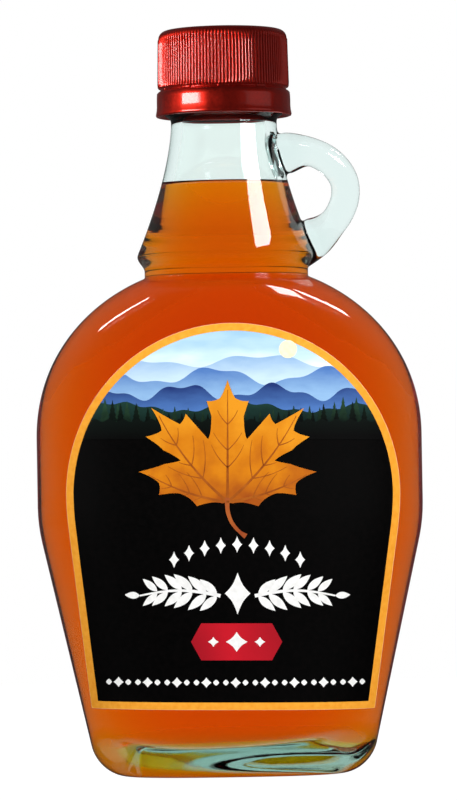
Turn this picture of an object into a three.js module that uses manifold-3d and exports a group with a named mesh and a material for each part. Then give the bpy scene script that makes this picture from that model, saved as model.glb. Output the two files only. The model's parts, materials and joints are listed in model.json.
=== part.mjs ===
// A maple syrup bottle: a flattened glass flask with a loop handle at its neck,
// syrup up to the neck, a knurled roll-on aluminium cap and a paper label on the front.
// Millimetres, +Z up, the label faces -Y and the handle points to +X.
// The origin is the middle of the base, on the surface that the bottle stands on.

import * as THREE from 'three';
import { mergeVertices } from 'three/addons/utils/BufferGeometryUtils.js';
import Module from 'manifold-3d';

const wasm = await Module();
wasm.setup();

// Driving dimensions of the flask body
const bodyHalfWidth = 41.4;
const bodyHalfDepth = 23.7;
const shoulderStart = 72.4;
const shoulderRise = 37.5;
const shoulderExponent = 2.07;
const taperHalfWidthAtBase = 29.2;
const taperSlope = 0.226;
const taperHalfDepthAtBase = 19.8;
const depthTaperSlope = 0.078;
const taperBlend = 0.9;
const depthShoulderStart = 84;
const depthShoulderRise = 24.5;
const planExponent = 2.7;
const roundingStart = 88;
const heelWidth = 6;
const heelHeight = 6.5;
const pushUpHeight = 1.2;
const pushUpSlope = 2.5;
const bearingWidth = 3.5;
const sideBend = [46, 62];

// Driving dimensions of the neck, its collar and the mouth under the cap
const waistRadius = 17.6;
const waistBlend = 0.5;
const waistBottom = 106.4;
const collarRadius = 1.5;
const collarLevel = 111.3;
const collarTop = 112.2;
const neckRadius = 11.4;
const neckFlareTop = 139.6;
const neckFlare = 0.0456;
const neckFlareExponent = 1.54;
const finishBottom = 141.8;
const finishRadius = 12.9;
const finishBevel = 1;
const mouthRadius = 9.0;
const mouthLevel = 158.7;

// Driving dimensions of the glass wall and the syrup
const wall = 2.4;
const baseThickness = 6.2;
const innerHeel = 6;
const innerWaistBlend = [2, 1];
const innerWaistLevel = 108;
const fillLevel = 126.5;
const gap = 0.3;

// Driving dimensions of the loop handle, a rounded bar of glass
const handleInPlane = 6.1;
const handleAcross = 6.6;
const handleInnerFlare = 0.75;
const handleOuterFlare = 0.25;
const handleFlareReach = [2, 6];
const handleExponent = 2.4;
const handleRoute = [
  [9.6, 133.6], [14.6, 133.9], [19.2, 133.3], [23.2, 130.9], [25.6, 127.4], [25.9, 123.8],
  [24.6, 120.2], [22.0, 116.9], [18.6, 113.9], [14.6, 111.2],
];

// Driving dimensions of the cap
const capTop = 160.0;
const capBottom = 141.4;
const capRadius = 14.1;
const capCorner = 1.8;
const knurlCount = 120;
const knurlDepth = 0.32;
const knurlBite = 0.02;
const knurlBottom = 147.9;
const grooveLevel = 147.1;
const grooveRadius = 13.8;
const grooveEdge = 0.4;
const bandRadius = 14.45;
const bandLip = 14.65;
const bandLipHeight = 0.4;
const skirtChamfer = [0.5, 1];

// Driving dimensions of the label
const labelHalfWidth = 35.4;
const labelBottom = 14.6;
const labelTop = 96.1;
const labelArchStart = 60;
const labelTaperStart = 57;
const labelSideSlope = 0.125;
const labelBlend = 0.5;
const labelTip = 1.2;
const labelShift = 0.6;
const labelLean = 0.0169;
const labelThickness = 0.3;

// How finely each surface is divided
const outerColumns = 52;
const innerColumns = 36;
const handleColumns = 14;
const handleSteps = 24;
const capColumns = 60;
const labelColumns = 16;
const labelRows = 14;

// Smooth minimum of two values, rounded over a band k
function smoothMin(a, b, k) {
  const h = Math.min(1, Math.max(0, 0.5 + (0.5 * (b - a)) / k));
  return b * (1 - h) + a * h - k * h * (1 - h);
}

function smoothMax(a, b, k) {
  return -smoothMin(-a, -b, k);
}

// A quarter of a superellipse: 1 below its start, 0 at the end of its rise
function quarterArc(z, start, rise, exponent) {
  const u = Math.min(1, Math.max(0, (z - start) / rise));
  return Math.pow(1 - Math.pow(u, exponent), 1 / exponent);
}

// How far the rounded heel stands in from the straight side at height z above its foot
function heelInset(z, foot, width, height) {
  const u = Math.min(1, Math.max(0, 1 - (z - foot) / height));
  return width * (1 - Math.sqrt(1 - u * u));
}

// Half-width and half-depth of the flask body, shrunk inwards by inset
function bodyHalfSizes(z, inset) {
  const shoulderArc = quarterArc(z, shoulderStart, shoulderRise - inset, shoulderExponent);
  const shoulder = (bodyHalfWidth - inset) * shoulderArc;
  const side = taperHalfWidthAtBase + taperSlope * z - inset;
  const frontArc = quarterArc(z, depthShoulderStart, depthShoulderRise, 2);
  const front = waistRadius + (bodyHalfDepth - waistRadius) * frontArc;
  const frontSide = taperHalfDepthAtBase + depthTaperSlope * z;
  return [smoothMin(shoulder, side, taperBlend), smoothMin(front, frontSide, taperBlend) - inset];
}

// Radius of the round neck, flaring downwards to the collar
function neckOuter(z) {
  return neckRadius + neckFlare * Math.pow(Math.max(0, neckFlareTop - z), neckFlareExponent);
}

// Half-width and half-depth of the outside of the glass at height z, from the base to the finish
function outerHalfSizes(z) {
  if (z >= collarTop) {
    const radius = neckOuter(z);
    return [radius, radius];
  }
  const rise = (z - collarLevel) / collarRadius;
  const bead = Math.abs(rise) < 1 ? collarRadius * Math.sqrt(1 - rise * rise) : 0;
  const waist = waistRadius + bead;
  const [width, depth] = bodyHalfSizes(z, 0);
  const inset = heelInset(z, 0, heelWidth, heelHeight);
  const round = Math.max(waist, smoothMax(waist, width, waistBlend));
  if (z > shoulderStart) {
    return [round, Math.min(round, smoothMax(waist, depth, waistBlend))];
  }
  return [width - inset, depth - inset];
}

// Half-width and half-depth of the hollow at height z, shrunk further by clearance
function innerHalfSizes(z, clearance) {
  const inset = wall + clearance;
  const neck = Math.min(neckOuter(z), waistRadius) - inset;
  const [width, depth] = bodyHalfSizes(z, inset);
  const floor = baseThickness + clearance;
  const heel = heelInset(z, floor, innerHeel, innerHeel);
  if (z > shoulderStart) {
    const round = smoothMax(neck, width, innerWaistBlend[0]);
    return [round, Math.min(round, smoothMax(neck, depth, innerWaistBlend[1]))];
  }
  return [width - heel, depth - heel];
}

// Plan exponent: round at the neck, a soft superellipse down the body
function exponentAt(z) {
  const share = Math.min(1, Math.max(0, (collarLevel - z) / (collarLevel - roundingStart)));
  return 2 + (planExponent - 2) * share;
}

// Evenly spaced heights from one level to another, leaving out the last
function levels(from, to, count) {
  return Array.from({ length: count }, (_, i) => from + ((to - from) * i) / count);
}

// One closed ring of points on a superellipse at height z
function ring(halfWidth, halfDepth, exponent, z, columns) {
  const power = 2 / exponent;
  return Array.from({ length: columns }, (_, i) => {
    const angle = (2 * Math.PI * i) / columns;
    const c = Math.cos(angle);
    const s = Math.sin(angle);
    const x = halfWidth * Math.sign(c) * Math.pow(Math.abs(c), power);
    const y = halfDepth * Math.sign(s) * Math.pow(Math.abs(s), power);
    return new THREE.Vector3(x, y, z);
  });
}

// A closed skin over rings of equal length, with a point at the middle of each end
function skin(rings) {
  const columns = rings[0].length;
  const middle = (points) => points.reduce((sum, p) => sum.add(p), new THREE.Vector3()).divideScalar(columns);
  const points = [...rings.flat(), middle(rings[0]), middle(rings[rings.length - 1])];
  const first = rings.length * columns;
  const index = [];
  for (let i = 0; i < columns; i++) {
    const next = (i + 1) % columns;
    index.push(first, next, i);
    const top = (rings.length - 1) * columns;
    index.push(first + 1, top + i, top + next);
    for (let row = 0; row < rings.length - 1; row++) {
      const a = row * columns + i;
      const b = row * columns + next;
      index.push(a, b, b + columns, a, b + columns, a + columns);
    }
  }
  const geometry = new THREE.BufferGeometry().setFromPoints(points);
  geometry.setIndex(index);
  return geometry;
}

// Boolean work: geometry to solid and back
function toSolid(geometry) {
  const plain = geometry.clone();
  plain.deleteAttribute('normal');
  plain.deleteAttribute('uv');
  const merged = mergeVertices(plain, 1e-4);
  return new wasm.Manifold(new wasm.Mesh({
    numProp: 3,
    vertProperties: new Float32Array(merged.attributes.position.array),
    triVerts: new Uint32Array(merged.index.array),
  }));
}

function toGeometry(solid) {
  const mesh = solid.getMesh();
  const geometry = new THREE.BufferGeometry();
  geometry.setAttribute('position', new THREE.BufferAttribute(mesh.vertProperties, 3));
  geometry.setIndex(new THREE.BufferAttribute(mesh.triVerts, 1));
  geometry.computeVertexNormals();
  return geometry;
}

// Outside of the glass: recessed base, heel, tapering body, shoulder, collar, neck and finish
function outerGlass() {
  const heights = [
    ...levels(0, heelHeight, 5),
    ...levels(heelHeight, sideBend[0], 3),
    ...levels(sideBend[0], sideBend[1], 5),
    ...levels(sideBend[1], shoulderStart + 1, 2),
    ...levels(shoulderStart + 1, waistBottom, 11),
    ...levels(waistBottom, collarTop, 7),
    ...levels(collarTop, neckFlareTop, 6),
  ];
  const rings = heights.map((z) => {
    const [width, depth] = outerHalfSizes(z);
    return ring(width, depth, exponentAt(z), z, outerColumns);
  });
  const round = [
    [neckRadius, neckFlareTop],
    [neckRadius, finishBottom - finishBevel],
    [finishRadius, finishBottom],
    [finishRadius, mouthLevel - finishBevel],
    [finishRadius - finishBevel, mouthLevel],
  ];
  for (const [radius, z] of round) {
    rings.push(ring(radius, radius, 2, z, outerColumns));
  }
  return skin(rings);
}

// The shallow recess under the base, inside the flat bearing ring
function pushUp() {
  const [width, depth] = outerHalfSizes(0);
  const shrink = [
    [bearingWidth, -pushUpHeight],
    [bearingWidth, 0],
    [bearingWidth + pushUpSlope, pushUpHeight],
  ];
  return skin(shrink.map(([inset, z]) => ring(width - inset, depth - inset, planExponent, z, innerColumns)));
}

// Rings of the hollow from its floor up to a given level, shrunk by clearance
function hollowRings(top, clearance) {
  const floor = baseThickness + clearance;
  const heights = [
    ...levels(floor, floor + innerHeel, 5),
    ...levels(floor + innerHeel, sideBend[0], 2),
    ...levels(sideBend[0], sideBend[1], 3),
    ...levels(sideBend[1], shoulderStart + 1, 1),
    ...levels(shoulderStart + 1, innerWaistLevel, 10),
    ...levels(innerWaistLevel, top, 5),
    top,
  ];
  return heights.map((z) => {
    const [width, depth] = innerHalfSizes(z, clearance);
    return ring(width, depth, exponentAt(z), z, innerColumns);
  });
}

// The loop handle: a rounded bar carried along a smooth curve, webbed inside where it joins the neck
function handleBar() {
  const route = handleRoute.map(([x, z]) => new THREE.Vector3(x, 0, z));
  const curve = new THREE.CatmullRomCurve3(route, false, 'centripetal');
  const across = new THREE.Vector3(0, 1, 0);
  const rings = [];
  for (let step = 0; step <= handleSteps; step++) {
    const t = step / handleSteps;
    const centre = curve.getPointAt(t);
    const inward = new THREE.Vector3().crossVectors(across, curve.getTangentAt(t)).normalize();
    const reach = centre.x - neckOuter(centre.z);
    const root = 1 - THREE.MathUtils.smoothstep(reach, ...handleFlareReach);
    const section = ring(handleInPlane / 2, handleAcross / 2, handleExponent, 0, handleColumns);
    rings.push(section.map((p) => {
      const flare = p.x > 0 ? handleInnerFlare : handleOuterFlare;
      return centre.clone()
        .addScaledVector(inward, p.x * (1 + flare * root))
        .addScaledVector(across, p.y * (1 + handleOuterFlare * root));
    }));
  }
  return skin(rings);
}

function buildGlass() {
  const mouth = [
    ...hollowRings(neckFlareTop, 0),
    ring(mouthRadius, mouthRadius, 2, finishBottom, innerColumns),
    ring(mouthRadius, mouthRadius, 2, mouthLevel + finishBevel, innerColumns),
  ];
  const solid = toSolid(outerGlass())
    .add(toSolid(handleBar()))
    .subtract(toSolid(skin(mouth)))
    .subtract(toSolid(pushUp()));
  return toGeometry(solid);
}

function buildSyrup() {
  return toGeometry(toSolid(skin(hollowRings(fillLevel, gap))));
}

// The cap: a turned shell with rounded top edge, a groove and a plain band, and a knurled grip
function buildCap() {
  const inner = finishRadius + gap;
  const ceiling = mouthLevel + gap;
  const corner = levels(0, Math.PI / 2, 4).map((a) => new THREE.Vector2(
    capRadius - knurlDepth - capCorner * (1 - Math.cos(a)),
    capTop - capCorner * (1 - Math.sin(a)),
  ));
  const profile = [
    new THREE.Vector2(0, ceiling),
    new THREE.Vector2(inner, ceiling),
    new THREE.Vector2(inner, capBottom + skirtChamfer[1]),
    new THREE.Vector2(inner + skirtChamfer[0], capBottom),
    new THREE.Vector2(bandLip - bandLipHeight, capBottom),
    new THREE.Vector2(bandLip, capBottom + bandLipHeight),
    new THREE.Vector2(bandRadius, capBottom + skirtChamfer[1] + bandLipHeight),
    new THREE.Vector2(bandRadius, grooveLevel - 2 * grooveEdge),
    new THREE.Vector2(grooveRadius, grooveLevel - grooveEdge / 2),
    new THREE.Vector2(grooveRadius, grooveLevel + grooveEdge / 2),
    new THREE.Vector2(capRadius - knurlDepth, knurlBottom),
    ...corner,
    new THREE.Vector2(capRadius - knurlDepth - capCorner, capTop),
    new THREE.Vector2(0, capTop),
  ];
  const shell = new THREE.LatheGeometry(profile, capColumns);
  shell.rotateX(Math.PI / 2);

  const outline = new THREE.Shape();
  for (let i = 0; i < 2 * knurlCount; i++) {
    const angle = (Math.PI * i) / knurlCount;
    const radius = capRadius - (i % 2) * (knurlDepth - knurlBite);
    outline[i ? 'lineTo' : 'moveTo'](radius * Math.cos(angle), radius * Math.sin(angle));
  }
  outline.closePath();
  const bore = new THREE.Path();
  bore.absarc(0, 0, inner + gap, 0, 2 * Math.PI, true);
  outline.holes.push(bore);
  const grip = new THREE.ExtrudeGeometry(outline, {
    depth: capTop - capCorner - knurlBottom,
    bevelEnabled: false,
    curveSegments: capColumns / 2,
  });
  grip.translate(0, 0, knurlBottom);
  return toGeometry(toSolid(shell).add(toSolid(grip)));
}

// Half-width of the label at height z: sides that taper with the body under a half-ellipse arch
function labelHalfWidthAt(z) {
  const side = labelHalfWidth + labelSideSlope * (z - labelTaperStart);
  const arch = labelHalfWidth * quarterArc(z, labelArchStart, labelTop - labelArchStart, 2);
  return smoothMin(side, arch, labelBlend);
}

// Points across the front face at height z between two widths, standing proud of the glass by offset
function frontRow(left, right, z, offset) {
  const [width, depth] = outerHalfSizes(z);
  const power = 2 / exponentAt(z);
  const angleAt = (x) => Math.acos(Math.sign(x) * Math.pow(Math.abs(x) / (width + offset), 1 / power));
  const from = angleAt(left);
  const to = angleAt(right);
  return Array.from({ length: labelColumns + 1 }, (_, column) => {
    const angle = from + ((to - from) * column) / labelColumns;
    const c = Math.cos(angle);
    const x = (width + offset) * Math.sign(c) * Math.pow(Math.abs(c), power);
    return new THREE.Vector3(x, -(depth + offset) * Math.pow(Math.sin(angle), power), z);
  });
}

// The label: a thin sheet wrapped on the front of the body, put on one degree out of true
function buildLabel() {
  const rise = labelTop - labelBottom;
  const rowHeight = (row) => labelBottom + rise * Math.sin((Math.PI / 2) * (row / labelRows));
  const sheet = (offset) => Array.from({ length: labelRows + 1 }, (_, row) => {
    const z = rowHeight(row);
    const half = Math.max(labelTip, labelHalfWidthAt(z));
    const middle = labelShift + labelLean * (z - (labelBottom + labelTop) / 2);
    return frontRow(middle - half, middle + half, z, offset);
  }).flat();
  const points = [...sheet(gap + labelThickness), ...sheet(gap)];
  const stride = labelColumns + 1;
  const back = stride * (labelRows + 1);
  const index = [];
  const quad = (a, b, c, d) => index.push(a, b, c, a, c, d);
  for (let row = 0; row < labelRows; row++) {
    for (let column = 0; column < labelColumns; column++) {
      const a = row * stride + column;
      quad(a, a + 1, a + 1 + stride, a + stride);
      quad(back + a, back + a + stride, back + a + 1 + stride, back + a + 1);
    }
    const left = row * stride;
    const right = left + labelColumns;
    quad(left, left + stride, back + left + stride, back + left);
    quad(right, back + right, back + right + stride, right + stride);
  }
  for (let column = 0; column < labelColumns; column++) {
    const top = labelRows * stride + column;
    quad(column, back + column, back + column + 1, column + 1);
    quad(top, top + 1, back + top + 1, back + top);
  }
  const geometry = new THREE.BufferGeometry().setFromPoints(points);
  geometry.setIndex(index);
  return toGeometry(toSolid(geometry));
}

function part(name, geometry, look) {
  const mesh = new THREE.Mesh(geometry, new THREE.MeshStandardMaterial(look));
  mesh.name = name;
  return mesh;
}

const clearGlass = { color: 0xdcebe8, roughness: 0.03, metalness: 0, transparent: true, opacity: 0.4 };

const bottle = new THREE.Group();
bottle.add(
  part('glass', buildGlass(), clearGlass),
  part('syrup', buildSyrup(), { color: 0xc65a06, roughness: 0.1, metalness: 0 }),
  part('cap', buildCap(), { color: 0xb32a20, roughness: 0.35, metalness: 0.8 }),
  part('label', buildLabel(), { color: 0x14120f, roughness: 0.5, metalness: 0 }),
);

export default bottle;
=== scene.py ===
import json
import math

import bmesh
import bpy
import numpy as np
from mathutils import Matrix, Vector

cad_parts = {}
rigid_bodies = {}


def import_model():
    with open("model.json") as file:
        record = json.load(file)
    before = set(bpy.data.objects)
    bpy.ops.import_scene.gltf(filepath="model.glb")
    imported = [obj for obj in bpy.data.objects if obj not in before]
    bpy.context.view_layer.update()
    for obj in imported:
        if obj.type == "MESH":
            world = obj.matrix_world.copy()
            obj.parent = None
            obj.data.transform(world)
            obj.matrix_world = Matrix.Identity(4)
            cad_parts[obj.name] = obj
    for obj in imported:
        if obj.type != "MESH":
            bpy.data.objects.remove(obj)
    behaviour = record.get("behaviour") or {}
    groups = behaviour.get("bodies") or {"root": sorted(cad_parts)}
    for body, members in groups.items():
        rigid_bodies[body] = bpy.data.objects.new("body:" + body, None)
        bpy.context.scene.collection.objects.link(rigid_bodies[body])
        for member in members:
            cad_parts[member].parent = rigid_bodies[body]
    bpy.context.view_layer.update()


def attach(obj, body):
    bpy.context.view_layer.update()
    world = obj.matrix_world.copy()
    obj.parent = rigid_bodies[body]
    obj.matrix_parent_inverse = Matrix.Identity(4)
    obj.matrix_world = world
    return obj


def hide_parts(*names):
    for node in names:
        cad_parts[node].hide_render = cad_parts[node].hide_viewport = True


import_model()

# A flat glass flask of maple syrup with a loop handle, a ribbed red roll-on cap and an arched label.
# Sizes are in millimetres in the settings, where no note says metres, and are turned to metres when a
# mesh is made. The scale of a noise pattern is written as its cells to the millimetre, divided by mm.
# The label faces -Y and the handle points to +X; the bottle stands on z = 0.

mm = 0.001
tau = 2 * math.pi


# Small tools for numbers

def softMin(a, b, band):
    # the smaller of two values, rounded where they cross
    share = np.clip(0.5 + 0.5 * (b - a) / band, 0, 1)
    return b * (1 - share) + a * share - band * share * (1 - share)


def softMax(a, b, band):
    # the larger of two values, rounded where they cross
    return -softMin(-a, -b, band)


def ease(value, low, high):
    # 0 below low, 1 above high, smooth between
    t = np.clip((value - low) / (high - low), 0, 1)
    return t * t * (3 - 2 * t)


def quarterArc(z, start, rise, exponent):
    # a quarter of a superellipse: 1 below its start, 0 at the end of its rise
    u = np.clip((z - start) / rise, 0, 1)
    return (1 - u ** exponent) ** (1 / exponent)


def spread(*stops):
    # heights from a list of (value, steps) stops, each stretch evenly divided
    parts = [np.linspace(a[0], b[0], a[1], endpoint=False) for a, b in zip(stops, stops[1:])]
    return np.concatenate(parts + [np.array([float(stops[-1][0])])])


# Small tools for meshes

def gridFaces(rows, columns, closed):
    # quads over a grid of points; a closed grid joins its last column to its first
    row = np.arange(rows - 1)[:, None] * columns
    column = np.arange(columns if closed else columns - 1)[None, :]
    beside = (column + 1) % columns
    quads = np.stack([row + column, row + beside, row + columns + beside, row + columns + column], axis=-1)
    return quads.reshape(-1, 4).tolist()


def closedSkin(rings):
    # rings is rows x columns x 3; each end is shut by a fan to the mean of its ring
    rows, columns, _ = rings.shape
    points = np.concatenate([rings.reshape(-1, 3), rings[:1].mean(axis=1), rings[-1:].mean(axis=1)])
    around = np.arange(columns)
    beside = (around + 1) % columns
    first, last = rows * columns, rows * columns + 1
    top = (rows - 1) * columns
    bottomFan = np.stack([np.full(columns, first), beside, around], axis=-1)
    topFan = np.stack([np.full(columns, last), top + around, top + beside], axis=-1)
    return points, gridFaces(rows, columns, True) + bottomFan.tolist() + topFan.tolist()


def thinShell(front, back):
    # two grids of equal size, a hair apart, joined by a rim into one closed sheet
    rows, columns, _ = front.shape
    count = rows * columns
    points = np.concatenate([front.reshape(-1, 3), back.reshape(-1, 3)])
    faces = gridFaces(rows, columns, False)
    rim = np.concatenate([
        np.arange(columns),
        np.arange(1, rows) * columns + columns - 1,
        np.arange(columns - 2, -1, -1) + (rows - 1) * columns,
        np.arange(rows - 2, 0, -1) * columns,
    ])
    beside = np.roll(rim, -1)
    edge = np.stack([rim, rim + count, beside + count, beside], axis=-1)
    return points, faces + [[i + count for i in reversed(face)] for face in faces] + edge.tolist()


def joinParts(parts):
    # several (points, faces) pairs as one
    points, faces, start = [], [], 0
    for partPoints, partFaces in parts:
        points.append(partPoints)
        faces += [[i + start for i in face] for face in partFaces]
        start += len(partPoints)
    return np.concatenate(points), faces


def makePiece(name, points, faces, material, sharpFrom=None):
    # smooth all over, or with edges left crisp where faces meet at more than sharpFrom radians
    mesh = bpy.data.meshes.new(name)
    mesh.from_pydata((np.asarray(points) * mm).tolist(), [], faces)
    mesh.polygons.foreach_set("use_smooth", np.full(len(mesh.polygons), True))
    mesh.materials.append(material)
    mesh.update()
    if sharpFrom:
        mesh.set_sharp_from_angle(angle=sharpFrom)
    piece = bpy.data.objects.new(name, mesh)
    bpy.context.scene.collection.objects.link(piece)
    return piece


def combine(piece, cutter, operation):
    # a boolean join or cut, applied, with the second piece removed
    modifier = piece.modifiers.new("combine", "BOOLEAN")
    modifier.operation = operation
    modifier.object = cutter
    modifier.solver = "MANIFOLD"
    result = bpy.data.meshes.new_from_object(piece.evaluated_get(bpy.context.evaluated_depsgraph_get()))
    piece.modifiers.clear()
    piece.data = result
    bpy.data.objects.remove(cutter)


def dress(piece, slot, *nodes):
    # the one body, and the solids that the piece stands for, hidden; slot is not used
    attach(piece, "root")
    if nodes:
        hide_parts(*nodes)
    return piece


# Small tools for materials

def linear(hexColour):
    # an sRGB hex value as linear red, green, blue and alpha
    channels = [int(hexColour[i:i + 2], 16) / 255 for i in (1, 3, 5)]
    return tuple(c / 12.92 if c <= 0.04045 else ((c + 0.055) / 1.055) ** 2.4 for c in channels) + (1.0,)


def addNode(tree, kind, settings=None, links=None):
    # settings that name a socket set its value, others the node's own property
    node = tree.nodes.new(kind)
    for key, value in (settings or {}).items():
        if isinstance(key, int) or key in node.inputs:
            node.inputs[key].default_value = value
        else:
            setattr(node, key, value)
    for socket, source in (links or {}).items():
        tree.links.new(source, node.inputs[socket])
    return node


def newMaterial(name, settings):
    # one shader with these settings, and the object coordinates for its patterns
    material = bpy.data.materials.new(name)
    material.use_nodes = True
    tree = material.node_tree
    tree.nodes.clear()
    shader = addNode(tree, "ShaderNodeBsdfPrincipled", settings)
    addNode(tree, "ShaderNodeOutputMaterial", {}, {"Surface": shader.outputs["BSDF"]})
    place = addNode(tree, "ShaderNodeTexCoord").outputs["Object"]
    return material, tree, shader, place


def dryGleam(tree, shader):
    # the mirror gleam of a clear material, taken away where the mesh is marked as wetted
    wetted = addNode(tree, "ShaderNodeAttribute", {"attribute_name": "wetted"})
    dry = addNode(tree, "ShaderNodeMath", {"operation": "SUBTRACT", 0: 1.0}, {1: wetted.outputs["Fac"]})
    tree.links.new(dry.outputs["Value"], shader.inputs["Specular Tint"])


def setRamp(node, stops):
    # stops are (position, colour), from low to high
    ramp = node.color_ramp
    while len(ramp.elements) < len(stops):
        ramp.elements.new(1.0)
    for element, (position, colour) in zip(ramp.elements, stops):
        element.position = position
        element.color = colour


# The flask's outline, the same curves as the solid bottle's

flask = {
    "bodyHalfWidth": 41.4, "bodyHalfDepth": 23.7,
    "shoulderStart": 72.4, "shoulderRise": 37.5, "shoulderExponent": 2.07,
    "taperHalfWidth": 29.2, "taperSlope": 0.226,
    "taperHalfDepth": 19.8, "depthTaperSlope": 0.078, "taperBlend": 0.9,
    "depthShoulderStart": 84.0, "depthShoulderRise": 24.5,
    "planExponent": 2.7, "roundingStart": 88.0,
    "heelWidth": 6.0, "heelHeight": 6.5,
    "pushUpHeight": 1.2, "pushUpSlope": 2.5, "bearingWidth": 3.5,
    "waistRadius": 17.6, "waistBlend": 0.5, "waistFoot": 105.0, "innerWaistLevel": 108.0,
    "collarRadius": 1.5, "collarLevel": 111.3, "collarSpan": 3.2, "collarTop": 112.2,
    "neckRadius": 11.4, "neckFlareTop": 139.6, "neckFlare": 0.0456, "neckFlareExponent": 1.54,
    "finishBottom": 141.8, "finishRadius": 12.9, "finishBevel": 1.0,
    "mouthRadius": 9.0, "mouthLevel": 158.7,
    "wall": 2.4, "baseThickness": 6.2, "innerHeel": 6.0,
    "innerWaistBlend": (2.0, 1.0),
    "waviness": 0.06,        # how far the inner wall wanders, as blown glass does
    "waveFade": (120.0, 138.0),
    "floorTilt": 0.012, "floorWave": 0.6, "floorFade": 9.0, "floorDip": 1.4,    # its floor is uneven too
    "floorRings": (0.03, 0.12, 0.24, 0.37, 0.5, 0.62, 0.74, 0.86),
    "wettedReach": 0.6,      # faces within this of the inner wall count as the hollow
    "outerColumns": 192, "innerColumns": 144,
    "absorptionColour": (0.22, 0.58, 0.57), "absorptionDensity": 45.0,
}


def bodyHalfSizes(z, inset):
    # half-width: the smaller of the shoulder arc and the straight side, rounded where they meet;
    # half-depth: the smaller of the front's arc and its own straight side, in the same way
    f = flask
    shoulder = (f["bodyHalfWidth"] - inset) * quarterArc(
        z, f["shoulderStart"], f["shoulderRise"] - inset, f["shoulderExponent"])
    side = f["taperHalfWidth"] + f["taperSlope"] * z - inset
    front = f["waistRadius"] + (f["bodyHalfDepth"] - f["waistRadius"]) * quarterArc(
        z, f["depthShoulderStart"], f["depthShoulderRise"], 2)
    frontSide = f["taperHalfDepth"] + f["depthTaperSlope"] * z
    return softMin(shoulder, side, f["taperBlend"]), softMin(front, frontSide, f["taperBlend"]) - inset


def heelInset(z, foot, width, height):
    # how far the rounded heel draws in: width (1 - sqrt(1 - u^2)), u falling from 1 at its foot to 0
    u = np.clip(1 - (z - foot) / height, 0, 1)
    return width * (1 - np.sqrt(1 - u * u))


def neckOuter(z):
    # radius + flare * (distance below the top of the flare) ^ exponent
    f = flask
    below = np.clip(f["neckFlareTop"] - z, 0, None)
    return f["neckRadius"] + f["neckFlare"] * below ** f["neckFlareExponent"]


def outerHalfSizes(z):
    # half-width and half-depth of the outside: neck above the collar, waist and shoulder, then the body
    f = flask
    z = np.asarray(z, float)
    neck = neckOuter(z)
    crest = np.clip(np.abs(z - f["collarLevel"]) / f["collarSpan"], 0, 1)
    waist = f["waistRadius"] + f["collarRadius"] * (0.5 + 0.5 * np.cos(math.pi * crest))
    width, depth = bodyHalfSizes(z, 0)
    inset = heelInset(z, 0, f["heelWidth"], f["heelHeight"])
    roundWidth = softMax(waist, width, f["waistBlend"])
    roundDepth = np.minimum(roundWidth, softMax(waist, depth, f["waistBlend"]))
    upper = z > f["shoulderStart"]
    halfWidth = np.where(z >= f["collarTop"], neck, np.where(upper, roundWidth, width - inset))
    halfDepth = np.where(z >= f["collarTop"], neck, np.where(upper, roundDepth, depth - inset))
    return halfWidth, halfDepth


def innerHalfSizes(z, clearance):
    # the hollow stands one wall inside the outside; its waist is softer
    f = flask
    z = np.asarray(z, float)
    inset = f["wall"] + clearance
    neck = np.minimum(neckOuter(z), f["waistRadius"]) - inset
    width, depth = bodyHalfSizes(z, inset)
    heel = heelInset(z, f["baseThickness"] + clearance, f["innerHeel"], f["innerHeel"])
    roundWidth = softMax(neck, width, f["innerWaistBlend"][0])
    roundDepth = np.minimum(roundWidth, softMax(neck, depth, f["innerWaistBlend"][1]))
    upper = z > f["shoulderStart"]
    return np.where(upper, roundWidth, width - heel), np.where(upper, roundDepth, depth - heel)


def planExponentAt(z):
    # 2, a circle, at the collar, and evenly up to the body's own exponent below it
    f = flask
    share = np.clip((f["collarLevel"] - z) / (f["collarLevel"] - f["roundingStart"]), 0, 1)
    return 2 + (f["planExponent"] - 2) * share


def rings(halfWidth, halfDepth, exponent, z, columns):
    # superellipse rings, one for each height: x = a |cos|^(2/n), y = b |sin|^(2/n)
    angle = np.linspace(0, tau, columns, endpoint=False)[None, :]
    power = 2 / np.broadcast_to(exponent, np.shape(z))[:, None]
    c, s = np.cos(angle), np.sin(angle)
    x = np.asarray(halfWidth)[:, None] * np.sign(c) * np.abs(c) ** power
    y = np.asarray(halfDepth)[:, None] * np.sign(s) * np.abs(s) ** power
    return np.stack([x, y, np.broadcast_to(np.asarray(z)[:, None], x.shape)], axis=-1)


def hollowRings(z, clearance, columns):
    # rings of the hollow, moved in and out by three slow sine waves round the wall that fade out up the neck
    f = flask
    halfWidth, halfDepth = innerHalfSizes(z, clearance)
    grid = rings(halfWidth, halfDepth, planExponentAt(z), z, columns)
    angle = np.linspace(0, tau, columns, endpoint=False)[None, :]
    height = np.asarray(z)[:, None]
    wander = np.sin(2 * angle + height / 11)
    wander += 0.7 * np.sin(5 * angle - height / 6)
    wander += 0.5 * np.sin(3 * angle + height / 3.3)
    wander *= f["waviness"] * (1 - ease(height, *f["waveFade"]))
    lengths = np.hypot(grid[..., 0], grid[..., 1])
    grid[..., :2] *= (1 + wander / np.maximum(lengths, 4))[..., None]
    # the floor inside the lowest ring, as scaled copies of it
    inside = np.array(f["floorRings"])[:, None, None]
    floor = grid[:1] * np.concatenate([inside, inside, np.ones_like(inside)], axis=-1)
    grid = np.concatenate([floor, grid])
    # rise = tilt x + wave (sin(y/2.1 + x/45 + 0.6) + sin(x/9 + y/7 + 1) / 3), fading out above the floor
    x, y = grid[..., 0], grid[..., 1]
    ripple = np.sin(y / 2.1 + x / 45 + 0.6) + np.sin(x / 9 + y / 7 + 1) / 3
    rise = f["floorTilt"] * x + f["floorWave"] * ripple
    grid[..., 2] += rise * (1 - ease(grid[..., 2] - f["baseThickness"], 0.5, f["floorFade"]))
    return grid


# The syrup's numbers stand here because the glass is marked as wetted up to its level

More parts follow.
